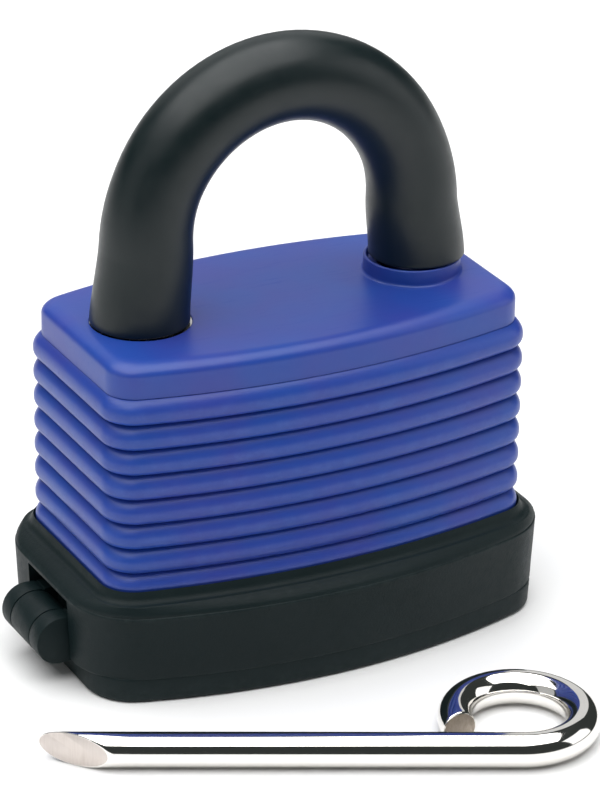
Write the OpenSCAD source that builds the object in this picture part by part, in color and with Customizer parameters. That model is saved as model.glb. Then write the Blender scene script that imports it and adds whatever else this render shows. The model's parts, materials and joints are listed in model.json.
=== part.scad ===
// Weatherproof combination padlock: a laminated steel body in a ribbed plastic jacket, a soft skirt and a
// hinged lid round the base, four number wheels under the lid, and a bent steel pin that changes the code.
// Millimetres. +Z is up, X runs along the lock's width, -Y is the front. The origin is the middle of the
// base face that the lock stands on. The toe leg and the lid's hinge are at -X, the heel leg is at +X.

/* [Jacket] */
// Width over the plain band above the ribs
body_w = 48; // [47:0.5:48]
// Depth over the plain band at the two ends
end_d = 20.8; // [20:0.1:20.8]
// Depth over the plain band at mid width, where the long sides bow out
mid_d = 27.4; // [26.8:0.1:27.6]
// Height of the jacket's top face above the base
body_top = 37.4; // [37.3:0.1:38]
// Number of moulded ribs
rib_count = 8; // [4:1:8]
// Height from one rib to the next
rib_pitch = 2.8; // [2.4:0.01:2.85]
// How far a rib stands out past the plain band
rib_depth = 0.5; // [0.3:0.1:0.5]
// Height of the plain band above the ribs
band_h = 3.8; // [3.6:0.1:5]

/* [Base] */
// How far the skirt's rim stands out past the ribs
skirt_reach = 2.9; // [2.5:0.1:3.5]
// Height of the sharp line where the skirt's shoulder starts
shoulder_z = 10.1; // [9.8:0.1:10.4]
// Thickness of the lid
lid_h = 3.05; // [2.9:0.05:3.1]
// Outer radius of the lid's hinge barrel
barrel_r = 2.65; // [2.3:0.05:2.7]
// Length of the hinge barrel, ears and knuckle together
barrel_len = 9.3; // [8:0.1:9.4]

/* [Shackle] */
// Distance between the centres of the two legs
leg_gap = 32; // [31.6:0.1:32.4]
// Diameter of the steel bow
shackle_d = 7.5; // [7:0.1:7.6]
// Diameter of the plastic sleeve over the bow's crown
sleeve_d = 9.28; // [8.8:0.02:9.6]
// Diameter of the sleeve's flared feet
sleeve_foot_d = 10.5; // [9.8:0.1:10.6]
// Height of the centre of the bow's arc
arch_z = 45.8; // [44:0.1:48]
// How far the shackle lifts when it is released
shackle_lift = 12.8; // [12.5:0.1:13]

/* [Wheels] */
// Diameter of a number wheel
wheel_d = 15; // [14.6:0.1:15]
// Width of a number wheel
wheel_w = 3.1; // [2.9:0.05:3.1]
// Distance from one wheel to the next
wheel_pitch = 5.4; // [5.35:0.01:5.4]
// Height of the wheels' axis above the base
axis_z = 10; // [10:0.1:10.1]

/* [Change pin] */
// Diameter of the change pin's wire
pin_d = 3.66; // [3.2:0.02:3.7]
// Distance along the wire from the middle of the bevel to the middle of the eye
pin_reach = 45.6; // [40:0.1:46]
// Radius of the eye, at the middle of the wire
eye_r = 6.6; // [5.5:0.1:7]
// Angle of the bevelled tip to the wire
bevel_angle = 26; // [20:1:45]

/* [Hidden] */
$fn = 48;
eps = 0.01;
fit_gap = 0.05;

// Half sizes of an outline: half width, half depth at the ends, half depth at mid width, corner radius
crest = [body_w / 2 + rib_depth, end_d / 2 + rib_depth, mid_d / 2 + rib_depth, 3.7];
wall = 2.3;
steel = inset(crest, wall, 1.6);
foot_z = 4.4;
band_z = body_top - band_h;
rib_land = 1.9;
rib_top_gap = 0.25;

skirt_rim = [crest[0] + skirt_reach, crest[1] + 0.9, crest[2] + skirt_reach - 0.2, 7.9];
skirt_foot = inset(skirt_rim, 0.32, 7.6);
skirt_lip = inset(crest, -0.4, 4.1);
lid_rim = [crest[0] + 1.8, crest[1] + 0.8, crest[2] + 2.3, 5.6];
lid_chamfer = 0.7;
skirt_z = lid_h + 0.3;
skirt_ledge = inset(crest, -1.3, 4.9);
ledge_z = 11.2;
skirt_top = 12.4;
lid_floor = 1.4;
lid_pocket = [12.9, 8.9];

hinge_x = -(crest[0] + 3.5);
hinge_y = -0.65;
hinge_z = lid_h + 1.9;
hinge_pin_r = 0.75;
ear_w = 2.2;
ear_gap = 0.15;
pocket_half = barrel_len / 2 + 0.3;
pocket_back = hinge_x + barrel_r + 0.2;
pocket_top = 9.6;

leg_x = leg_gap / 2;
leg_r = shackle_d / 2;
leg_bore_r = leg_r + 0.1;
sleeve_r = sleeve_d / 2;
foot_r = sleeve_foot_d / 2;
sleeve_foot_x = leg_x + 0.25;
toe_hole_r = foot_r + 0.2;
toe_hole_x = leg_x + 0.15;
collar_h = 1.6;
collar_r = 5.1;
collar_x = leg_x - 0.25;

cage_z = foot_z + 2;
cage_top = 18.2;
plate_count = 7;
steel_top = body_top - 1.3;
plate_t = (steel_top - cage_top) / plate_count;
bolt_plate = 6;
bolt_z = cage_top + plate_t * (bolt_plate - 1) + 0.1;
bolt_t = plate_t - 0.2;
toe_tip = 25.3;
heel_tip = 11.5;
heel_bore_z = 11.2;

// The bow's notches: the bolts' grip, and the long ramp below it that cams them out as the shackle rises
bolt_travel = 3;
bolt_grip = 1;
notch_depth = bolt_grip + fit_gap;
cam_ratio = bolt_travel / shackle_lift;
ramp_len = notch_depth / cam_ratio;
bolt_nose = leg_x - leg_r + bolt_grip;
bolt_half_w = 2.9;
bolt_tip_x = 3.6;

// The locking bar stands on edge between the bolts and drops into the hubs' gates
bar_half_t = 0.85;
bar_wing = 6.2;
bar_wing_z = bolt_z - 1.96;
bar_stem = 3.8;
comb_z = 21;
comb_x = [-7.7, 10.2];
comb_top = cage_top + 2 * plate_t - 0.14;
bar_spring_x = 5.2;
bar_spring_z = 24.6;
slot_half_t = bar_half_t + 0.1;

// Wheel and hub stack, measured along X from the left face of each wheel
wheel_r = wheel_d / 2;
wheel_x = [for (i = [0 : 3]) i * wheel_pitch - 10.3];
hub_bore_r = 1.05;
spindle_r = 1;
sleeve_hub_r = 3;
wheel_bore_r = sleeve_hub_r + fit_gap;
spline_r = 3.9;
spline_x = [1.15, 2.05];
tooth_x = [1, 2];
gate_x = [3.25, 4.35];
gate_disc_r = 4.9;
gate_floor_r = 1.95;
gate_half_w = bar_half_t + 0.15;
hub_x0 = -1;
change_shift = 0.9;
cavity_x = [-12, 11.3];
cavity_half_d = wheel_r + 0.2;
bar_tooth_z = axis_z + gate_disc_r + 0.15;

change_hole_x = -15.2;
change_hole_r = pin_d / 2 + 0.1;
spindle_x = [-14.2, 11.6];

rivet_x = 18.9;
rivet_y = 6.1;
rivet_r = 1.4;
rivet_head_r = 2.1;
rivet_head_h = 0.8;

retainer_r = 1.1;
retainer_z = 27;
retainer_x = leg_x + leg_r + 0.3;
heel_flat_x = retainer_x - retainer_r - 0.08;
heel_spring_r = 1.55;
heel_spring_top = 19.5;

pin_r = pin_d / 2;
pin_pos = [-34, -21.5, pin_r];
pin_turn = -26;
eye_end = 200;

BLUE = [0.16, 0.24, 0.62];
BLACK = [0.12, 0.15, 0.16];
STEEL = [0.72, 0.72, 0.70];
DARK_STEEL = [0.45, 0.46, 0.47];
BRASS = [0.80, 0.66, 0.34];

// ---- Outlines: straight ends, bowed long sides and round corners ----

function inset(o, d, rc) = [o[0] - d, o[1] - d, o[2] - d, rc];

// Points of one quarter, from the middle of the front side to the right-hand end
function quarter(o, n = 7, m = 5) =
    let (bow = o[2] - o[1],
         big = (o[0] * o[0] + bow * bow) / (2 * bow),
         cy = big - o[2],
         fx = o[0] - o[3],
         fy = cy - sqrt(pow(big - o[3], 2) - fx * fx),
         turn = asin(fx / (big - o[3])))
    concat([for (i = [0 : n]) let (a = turn * i / n) [big * sin(a), cy - big * cos(a)]],
           [for (j = [1 : m]) let (a = turn - 90 + (90 - turn) * j / m)
               [fx + o[3] * cos(a), fy + o[3] * sin(a)]]);

function outline(o) =
    let (q = quarter(o), last = len(q) - 1)
    concat(q,
           [for (i = [last : -1 : 0]) [q[i][0], -q[i][1]]],
           [for (i = [1 : last]) [-q[i][0], -q[i][1]]],
           [for (i = [last : -1 : 1]) [-q[i][0], q[i][1]]]);

module slab(o, z0, z1) {
    translate([0, 0, z0]) linear_extrude(z1 - z0) polygon(outline(o));
}

module box(lo, hi) {
    translate(lo) cube(hi - lo);
}

module along_x(x0, x1, r, y = 0, z = axis_z) {
    translate([x0, y, z]) rotate([0, 90, 0]) cylinder(r = r, h = x1 - x0);
}

module along_y(y0, y1, r, x = hinge_x, z = hinge_z) {
    translate([x, y0, z]) rotate([-90, 0, 0]) cylinder(r = r, h = y1 - y0);
}

// A coil spring on the Z axis, its round wire swept as one closed tube
module coil(r, wire, z0, z1, turns, steps = 14, sides = 8) {
    count = turns * steps;
    rings = [for (i = [0 : count]) let (a = 360 * i / steps, z = z0 + wire + (z1 - z0 - 2 * wire) * i / count)
        for (k = [0 : sides - 1]) let (b = 360 * k / sides)
            [(r + wire * cos(b)) * cos(a), (r + wire * cos(b)) * sin(a), z + wire * sin(b)]];
    skin = [for (i = [0 : count - 1], k = [0 : sides - 1])
        let (p = i * sides + k, q = i * sides + (k + 1) % sides) [p, p + sides, q + sides, q]];
    ends = [[for (k = [0 : sides - 1]) k], [for (k = [sides - 1 : -1 : 0]) count * sides + k]];
    polyhedron(points = rings, faces = concat(skin, ends), convexity = 10);
}

// ---- Covers ----

module jacket() {
    cap = inset(crest, rib_depth, 3.2);
    color(BLUE) difference() {
        union() {
            hull() {
                slab(cap, band_z - eps, body_top - 0.9);
                slab(inset(cap, 0.7, 2.6), body_top - 0.9, body_top);
            }
            slab(cap, foot_z, band_z);
            for (i = [0 : rib_count - 1])
                let (z = band_z - i * rib_pitch - rib_top_gap) slab(crest, z - rib_land, z);
            slab(crest, foot_z, band_z - rib_count * rib_pitch);
            translate([collar_x, 0, body_top - 1]) cylinder(r = collar_r, h = collar_h + 1);
        }
        slab(inset(steel, -fit_gap, 1.6), foot_z - 1, steel_top);
        translate([-toe_hole_x, 0, steel_top - 1]) cylinder(r = toe_hole_r, h = 4);
        translate([leg_x, 0, steel_top - 1]) cylinder(r = leg_bore_r + 0.1, h = 6);
    }
}

module skirt() {
    color(BLACK) difference() {
        union() {
            difference() {
                union() {
                    hull() {
                        slab(skirt_foot, skirt_z, skirt_z + eps);
                        slab(skirt_rim, shoulder_z - eps, shoulder_z);
                    }
                    hull() {
                        slab(skirt_rim, shoulder_z - eps, shoulder_z);
                        slab(skirt_ledge, ledge_z - eps, ledge_z);
                    }
                    hull() {
                        slab(skirt_ledge, ledge_z - 2 * eps, ledge_z);
                        slab(skirt_lip, skirt_top - eps, skirt_top);
                    }
                }
                slab(inset(crest, -fit_gap, crest[3] + fit_gap), foot_z - fit_gap, skirt_top + 1);
                slab(inset(steel, 0.2, 1.5), 0, skirt_top);
                box([hinge_x - 3, hinge_y - pocket_half, 0],
                    [pocket_back, hinge_y + pocket_half, pocket_top]);
            }
            for (y = [hinge_y - barrel_len / 2, hinge_y + barrel_len / 2 - ear_w]) {
                along_y(y, y + ear_w, barrel_r);
                box([hinge_x, y, skirt_z + 0.1], [pocket_back + 0.5, y + ear_w, hinge_z + barrel_r]);
            }
        }
        along_y(hinge_y + 0.6 - barrel_len / 2, barrel_len, hinge_pin_r + fit_gap);
    }
}

module lid() {
    knuckle = barrel_len / 2 - ear_w - ear_gap;
    color(BLACK) difference() {
        union() {
            difference() {
                union() {
                    hull() {
                        slab(inset(lid_rim, lid_chamfer, 4.9), 0, eps);
                        slab(lid_rim, lid_chamfer, lid_h);
                    }
                    slab(inset(steel, 0.6, 1.2), lid_h - eps, lid_h + 0.4);
                }
                box([-lid_pocket[0], -lid_pocket[1], lid_floor], [lid_pocket[0], lid_pocket[1], 9]);
                slab(inset(steel, 1.9, 1), lid_h, lid_h + 1);
                along_y(hinge_y - pocket_half, hinge_y + pocket_half, barrel_r + 0.25);
            }
            along_y(hinge_y - knuckle, hinge_y + knuckle, barrel_r);
            translate([0, hinge_y + knuckle, 0]) rotate([90, 0, 0]) linear_extrude(2 * knuckle)
                polygon([[hinge_x - 0.2, hinge_z - barrel_r + 0.02], [hinge_x + 1.9, 0.9], [hinge_x + 4, 0.9],
                    [hinge_x + 4, lid_h], [hinge_x + 2.2, lid_h], [hinge_x + 1.4, hinge_z]]);
        }
        along_y(-barrel_len, barrel_len, hinge_pin_r + fit_gap);
    }
}

module lid_hinge_pin() {
    color(STEEL) along_y(hinge_y + 0.65 - barrel_len / 2, hinge_y + barrel_len / 2 - 0.1, hinge_pin_r);
}

// ---- Steel stack ----

module rivet_holes(z0, z1) {
    for (x = [-rivet_x, rivet_x], y = [-rivet_y, rivet_y])
        translate([x, y, z0]) cylinder(r = rivet_r + fit_gap, h = z1 - z0);
}

module bottom_plate() {
    color(STEEL) difference() {
        slab(steel, foot_z, cage_z);
        rivet_holes(0, cage_z + 1);
        for (x = wheel_x) {
            box([x - 0.2, -6.9, 0], [x + wheel_w + 0.2, 6.9, cage_z + 1]);
            box([x + wheel_w, -5.2, foot_z + 0.55], [x + wheel_pitch, 5.2, cage_z + 1]);
        }
        translate([change_hole_x, 0, 0]) cylinder(r = change_hole_r, h = cage_z + 1);
        box([-11.6, -0.15, 0], [-10.9, 0.15, foot_z + 0.3]);
        box([9.6, -0.15, 0], [10.3, 0.15, foot_z + 0.3]);
    }
}

module wheel_cage() {
    color([0.6, 0.6, 0.58]) difference() {
        slab(steel, cage_z, cage_top);
        rivet_holes(0, cage_top + 1);
        box([cavity_x[0], -cavity_half_d, 0], [cavity_x[1], cavity_half_d, cage_top + 1]);
        along_x(change_hole_x, spindle_x[1] + change_shift + 0.15, spindle_r + fit_gap);
        translate([change_hole_x, 0, 0]) cylinder(r = change_hole_r + 0.3, h = 12.6);
        translate([leg_x, 0, heel_bore_z]) cylinder(r = leg_bore_r, h = 10);
        translate([leg_x, 0, cage_z + 0.6]) cylinder(r = 2.05, h = 10);
    }
}

// Laminations are counted upwards from the cage: 1 to 5, then the bolt plate and the top plate
function plate_z(k) = cage_top + (k - 1) * plate_t;

module plate(k) {
    color(k % 2 == 0 ? STEEL : DARK_STEEL) difference() {
        slab(steel, plate_z(k), plate_z(k) + plate_t);
        rivet_holes(0, steel_top + 1);
        translate([leg_x, 0, 0]) cylinder(r = leg_bore_r, h = steel_top + 1);
        if (k >= 3)
            translate([-leg_x, 0, 0]) cylinder(r = leg_bore_r, h = steel_top + 1);
        if (k <= 2)
            box([comb_x[0] - 0.2, -slot_half_t, 0], [comb_x[1] + 0.2, slot_half_t, steel_top]);
        if (k == 3)
            box([-bar_stem - 0.1, -slot_half_t, 0], [bar_stem + 0.1, slot_half_t, steel_top]);
        if (k == 3)
            for (x = [-bar_spring_x, bar_spring_x])
                translate([x, 0, bar_spring_z]) cylinder(r = 1.05, h = 3);
        if (k == 4 || k == 5)
            box([-bar_wing - 0.15, -slot_half_t, 0], [bar_wing + 0.15, slot_half_t, steel_top]);
        if (k == 4)
            for (x = [-bar_spring_x, bar_spring_x])
                translate([x, 0, 0]) cylinder(r = 1.05, h = steel_top);
        if (k == 4)
            box([retainer_x - retainer_r - fit_gap, -4.1, retainer_z - retainer_r - fit_gap],
                [retainer_x + retainer_r + fit_gap, 4.1, steel_top]);
        if (k == bolt_plate)
            box([-leg_x, -bolt_half_w - 0.1, 0], [leg_x, bolt_half_w + 0.1, steel_top]);
        if (k == plate_count)
            for (x = [-rivet_x, rivet_x], y = [-rivet_y, rivet_y])
                translate([x, y, steel_top - rivet_head_h])
                    cylinder(r1 = rivet_r + fit_gap, r2 = rivet_head_r + fit_gap, h = rivet_head_h + eps);
    }
}

module rivets() {
    color(STEEL) for (x = [-rivet_x, rivet_x], y = [-rivet_y, rivet_y]) translate([x, y, 0]) {
        translate([0, 0, foot_z - eps])
            cylinder(r = rivet_r, h = steel_top - rivet_head_h - foot_z + 2 * eps);
        translate([0, 0, foot_z - rivet_head_h]) cylinder(r1 = rivet_r, r2 = rivet_head_r, h = rivet_head_h);
        translate([0, 0, steel_top - rivet_head_h])
            cylinder(r1 = rivet_r, r2 = rivet_head_r, h = rivet_head_h);
    }
}

// ---- Shackle ----

module half_ring(major, minor) {
    translate([0, 0, arch_z]) rotate([90, 0, 0]) rotate_extrude(angle = 180, $fn = 72)
        translate([major, 0]) circle(r = minor);
}

// A notch cut in the inner side of a leg, at -X when side is 1, with the ramp below it
module notch(side) {
    flat_x = leg_r - notch_depth;
    z0 = bolt_z - 0.12;
    z1 = bolt_z + bolt_t + 0.2;
    translate([side * leg_x, 5, 0]) rotate([90, 0, 0]) linear_extrude(10)
        polygon([[-side * flat_x, z0], [-side * flat_x, z1], [-side * 8, z1], [-side * 8, z0 - ramp_len],
            [-side * leg_r, z0 - ramp_len]]);
}

module shackle() {
    color(STEEL) difference() {
        union() {
            half_ring(leg_x, leg_r);
            for (side = [-1, 1])
                let (tip = side < 0 ? toe_tip : heel_tip)
                translate([side * leg_x, 0, tip]) {
                    translate([0, 0, 0.8]) cylinder(r = leg_r, h = arch_z - tip - 0.8);
                    cylinder(r1 = leg_r - 0.8, r2 = leg_r, h = 0.8);
                }
        }
        notch(-1);
        notch(1);
        box([heel_flat_x, -5, retainer_z - shackle_lift - retainer_r - 0.1],
            [leg_x + 5, 5, retainer_z + retainer_r + 0.1]);
        translate([leg_x, 0, 0]) cylinder(r = heel_spring_r + 0.55, h = heel_spring_top + 0.1);
    }
}

module shackle_sleeve() {
    toe_z = body_top - 0.15;
    heel_z = body_top + collar_h + 0.15;
    color(BLACK) difference() {
        union() {
            half_ring(leg_x - 0.4, sleeve_r);
            for (side = [-1, 1])
                let (z = side < 0 ? toe_z : heel_z)
                hull() {
                    translate([side * (leg_x - 0.4), 0, arch_z - eps])
                        cylinder(r = sleeve_r, h = eps, $fn = 40);
                    translate([side * sleeve_foot_x, 0, z]) cylinder(r = foot_r, h = 0.5, $fn = 40);
                }
        }
        half_ring(leg_x, leg_r);
        for (side = [-1, 1])
            translate([side * leg_x, 0, 30]) cylinder(r = leg_r, h = arch_z - 30 + eps);
    }
}

// Bright ring pressed in the toe leg's hole, level with the jacket's top face
module toe_ferrule() {
    color(STEEL) translate([-toe_hole_x, 0, steel_top]) difference() {
        cylinder(r = toe_hole_r, h = body_top - steel_top - 0.35);
        translate([toe_hole_x - leg_x, 0, -1]) cylinder(r = leg_bore_r, h = 4);
    }
}

module heel_spring() {
    color(STEEL) translate([leg_x, 0, 0]) coil(heel_spring_r, 0.3, cage_z + 0.6, heel_spring_top, 12);
}

module heel_retaining_pin() {
    color(STEEL) along_y(-4, 4, retainer_r, retainer_x, retainer_z);
}

// ---- Bolts and locking bar ----

// The bolt on one side: the nose enters the leg's notch, and the slanted inner end presses on the bar
module bolt(side) {
    top = bolt_z + bolt_t;
    color(BRASS) translate([0, bolt_half_w, 0]) rotate([90, 0, 0]) linear_extrude(2 * bolt_half_w)
        polygon([[side * bolt_nose, bolt_z], [side * bolt_nose, top], [side * bolt_tip_x, top],
            [side * (bolt_tip_x + bolt_t), bolt_z]]);
}

module locking_bar() {
    slope = bolt_tip_x + bolt_z + bolt_t - 0.1;
    top = bolt_z + bolt_t;
    color(STEEL) {
        translate([0, bar_half_t, 0]) rotate([90, 0, 0]) linear_extrude(2 * bar_half_t)
            polygon([[-bar_wing, bar_wing_z], [-bar_wing, slope - bar_wing], [top - slope, top],
                [slope - top, top], [bar_wing, slope - bar_wing], [bar_wing, bar_wing_z]]);
        box([-bar_stem, -bar_half_t, comb_z], [bar_stem, bar_half_t, bar_wing_z + 1]);
        box([comb_x[0], -bar_half_t, comb_z], [comb_x[1], bar_half_t, comb_top]);
        for (x = wheel_x)
            box([x + gate_x[0] + 0.05, -bar_half_t, bar_tooth_z],
                [x + gate_x[0] + 1.05, bar_half_t, comb_z + 1]);
    }
}

module bar_springs() {
    color(STEEL) for (x = [-bar_spring_x, bar_spring_x])
        translate([x, 0, 0]) coil(0.7, 0.18, bar_spring_z, bar_wing_z - 0.02, 3);
}

// ---- Wheels and hubs ----

module spindle() {
    color(STEEL) {
        along_x(spindle_x[0] + 0.5, spindle_x[1], spindle_r);
        translate([spindle_x[0], 0, axis_z]) rotate([0, 90, 0]) cylinder(r1 = 0.5, r2 = spindle_r, h = 0.5);
        along_x(wheel_x[0] + hub_x0 - 0.6, wheel_x[0] + hub_x0 - 0.03, 1.9);
    }
}

module spring_washer() {
    color(STEEL) difference() {
        along_x(cavity_x[1] - 0.12, cavity_x[1], 2.6);
        along_x(cavity_x[1] - 1, cavity_x[1] + 1, spindle_r + 0.15);
    }
}

// Ten radial teeth on a ring, their roots well inside it
module teeth(r0, r1, width, x0, x1, turn) {
    for (i = [0 : 9])
        translate([x0, 0, axis_z]) rotate([turn + 36 * i, 0, 0])
            translate([0, -width / 2, r0]) cube([x1 - x0, width, r1 - r0]);
}

module hub(i) {
    color(BRASS) translate([wheel_x[i], 0, 0]) difference() {
        union() {
            along_x(hub_x0, gate_x[0] + eps, sleeve_hub_r);
            teeth(sleeve_hub_r - 0.5, spline_r, 0.9, spline_x[0], spline_x[1], 0);
            along_x(gate_x[0], gate_x[1], gate_disc_r);
        }
        along_x(hub_x0 - 1, gate_x[1] + 1, hub_bore_r);
        box([spline_x[1] + 0.2, -gate_half_w, axis_z + gate_floor_r],
            [gate_x[1] + 1, gate_half_w, axis_z + 9]);
    }
}

module number_wheel(i) {
    color(BRASS) translate([wheel_x[i], 0, 0]) {
        difference() {
            along_x(0, wheel_w, wheel_r);
            along_x(-1, wheel_w + 1, wheel_bore_r);
            along_x(tooth_x[0], wheel_w + 1, spline_r + 0.15);
            for (k = [0 : 9])
                translate([-1, 0, axis_z]) rotate([36 * k + 18, 0, 0]) translate([0, 0, wheel_r + 0.5])
                    rotate([0, 90, 0]) cylinder(r = 0.8, h = wheel_w + 2, $fn = 24);
        }
        teeth(wheel_bore_r + 0.1, spline_r + 0.6, 0.9, tooth_x[0] - eps, tooth_x[1], 18);
    }
}

// Comb of four leaf fingers on the back half, one over each wheel
module detent_spring() {
    color(STEEL) {
        box([cavity_x[0] + 0.2, 5.4, 17.75], [cavity_x[1] - 0.2, cavity_half_d - 0.1, 18]);
        for (x = wheel_x) {
            box([x + 0.4, 2, 17.75], [x + wheel_w - 0.4, 5.5, 18]);
            along_x(x + 0.4, x + wheel_w - 0.4, 0.35, 2.2, 17.75);
        }
    }
}

// ---- Change pin, lying in front of the lock ----

module change_pin() {
    run = pin_r / tan(bevel_angle);
    color([0.85, 0.85, 0.84]) translate(pin_pos) rotate([0, 0, pin_turn]) difference() {
        union() {
            along_x(0.15 - run, pin_reach + eps, pin_r, 0, 0);
            translate([pin_reach, eye_r, 0]) rotate([0, 0, -90])
                rotate_extrude(angle = eye_end + 90, $fn = 72) translate([eye_r, 0]) circle(r = pin_r);
        }
        translate([0, 0, -3]) linear_extrude(6)
            polygon([[-2 * run, 2 * pin_r], [-2 * run, -3 * pin_r], [3 * run, -3 * pin_r]]);
    }
}

jacket();
skirt();
lid();
lid_hinge_pin();
bottom_plate();
wheel_cage();
plate(1);  // lamination_1
plate(2);  // lamination_2
plate(3);  // lamination_3
plate(4);  // lamination_4
plate(5);  // lamination_5
plate(bolt_plate);
plate(plate_count);  // top_plate
rivets();
shackle();
shackle_sleeve();
toe_ferrule();
bolt(-1);  // toe_bolt
bolt(1);  // heel_bolt
locking_bar();
bar_springs();
heel_spring();
heel_retaining_pin();
spindle();
spring_washer();
hub(0);  // hub_1
hub(1);  // hub_2
hub(2);  // hub_3
hub(3);  // hub_4
number_wheel(0);  // number_wheel_1
number_wheel(1);  // number_wheel_2
number_wheel(2);  // number_wheel_3
number_wheel(3);  // number_wheel_4
detent_spring();
change_pin();
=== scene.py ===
"""Looks of a weatherproof combination padlock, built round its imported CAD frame.

Lengths here are in millimetres unless a name says otherwise, and the mesh builder turns them into metres.
The frame's axes hold throughout: +Z up, X along the lock's width, -Y the front.
"""

import bmesh
import bpy
import json
import math
from mathutils import Matrix, Vector
from mathutils.geometry import tessellate_polygon

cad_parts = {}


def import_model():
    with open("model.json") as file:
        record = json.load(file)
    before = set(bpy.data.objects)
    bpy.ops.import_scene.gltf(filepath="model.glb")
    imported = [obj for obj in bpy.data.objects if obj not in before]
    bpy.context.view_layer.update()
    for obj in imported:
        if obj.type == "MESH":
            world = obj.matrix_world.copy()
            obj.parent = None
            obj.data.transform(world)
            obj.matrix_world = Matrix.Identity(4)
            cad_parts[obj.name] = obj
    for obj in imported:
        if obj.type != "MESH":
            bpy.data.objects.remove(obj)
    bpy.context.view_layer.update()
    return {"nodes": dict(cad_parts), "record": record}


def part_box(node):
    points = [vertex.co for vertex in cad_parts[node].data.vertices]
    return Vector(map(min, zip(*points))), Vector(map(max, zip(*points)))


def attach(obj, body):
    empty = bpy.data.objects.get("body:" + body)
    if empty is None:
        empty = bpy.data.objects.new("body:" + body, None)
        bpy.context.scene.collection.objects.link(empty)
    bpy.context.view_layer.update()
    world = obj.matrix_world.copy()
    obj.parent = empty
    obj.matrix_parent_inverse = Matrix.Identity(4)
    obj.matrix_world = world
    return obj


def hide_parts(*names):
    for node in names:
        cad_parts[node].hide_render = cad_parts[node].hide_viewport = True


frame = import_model()

MM = 0.001
TAU = 2 * math.pi
# Edges up to these angles in degrees are shaded smooth.
SMOOTH_BELOW = 38
CUT_SMOOTH_BELOW = 32
PIN_SMOOTH_BELOW = 30
# Points closer than this, in metres, become one, and triangles below this doubled area are left out.
WELD_M = 1e-7
SLIVER = 1e-9
# The share of a soft edge's size at which its middle ring stands.
SOFT_MIDDLE = 0.3


def edges_mm(node):
    """Lowest and highest corner of a CAD node, in millimetres."""
    lo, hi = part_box(node)
    return Vector(lo) / MM, Vector(hi) / MM


jacket_lo, jacket_hi = edges_mm("jacket")
skirt_lo, skirt_hi = edges_mm("skirt")
_, lid_hi = edges_mm("lid")
_, shackle_hi = edges_mm("shackle")
sleeve_lo, sleeve_hi = edges_mm("shackle_sleeve")
ferrule_lo, ferrule_hi = edges_mm("toe_ferrule")
_, steel_hi = edges_mm("top_plate")
hinge_lo, hinge_hi = edges_mm("lid_hinge_pin")
pin_lo, pin_hi = edges_mm("change_pin")

BOW_R = 3.75
LEG_X = shackle_hi.x - BOW_R
TOE_HOLE_X = (ferrule_lo.x + ferrule_hi.x) / 2
TOE_HOLE_R = (ferrule_hi.x - ferrule_lo.x) / 2


# ---- Outlines and skins ----

BOW_STEPS = 20
CORNER_STEPS = 12
CIRCLE_STEPS = 64


def outline(half):
    """Points round straight ends, bowed long sides and round corners, anticlockwise from the front's middle.

    half is (half width, half depth at the ends, half depth at mid width, corner radius)."""
    half_w, half_end, half_mid, corner = half
    bow = half_mid - half_end
    big = (half_w**2 + bow**2) / (2 * bow)
    centre_y = big - half_mid
    corner_x = half_w - corner
    corner_y = centre_y - math.sqrt((big - corner) ** 2 - corner_x**2)
    turn = math.asin(corner_x / (big - corner))
    quarter = []
    for i in range(BOW_STEPS + 1):
        a = turn * i / BOW_STEPS
        quarter.append((big * math.sin(a), centre_y - big * math.cos(a)))
    for i in range(1, CORNER_STEPS + 1):
        a = (turn - math.pi / 2) * (1 - i / CORNER_STEPS)
        quarter.append((corner_x + corner * math.cos(a), corner_y + corner * math.sin(a)))
    back = [(x, -y) for x, y in reversed(quarter)]
    left = [(-x, -y) for x, y in quarter[1:]]
    front = [(-x, y) for x, y in reversed(quarter[1:])]
    return quarter + back + left + front


def inset(half, by, corner):
    """The outline moved in by that much all round, with that corner radius."""
    return (half[0] - by, half[1] - by, half[2] - by, corner)


def mix(a, b, t):
    return tuple(p + (q - p) * t for p, q in zip(a, b))


def circle(x, y, r):
    turns = [TAU * i / CIRCLE_STEPS for i in range(CIRCLE_STEPS)]
    return [(x + r * math.cos(a), y + r * math.sin(a)) for a in turns]


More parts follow.
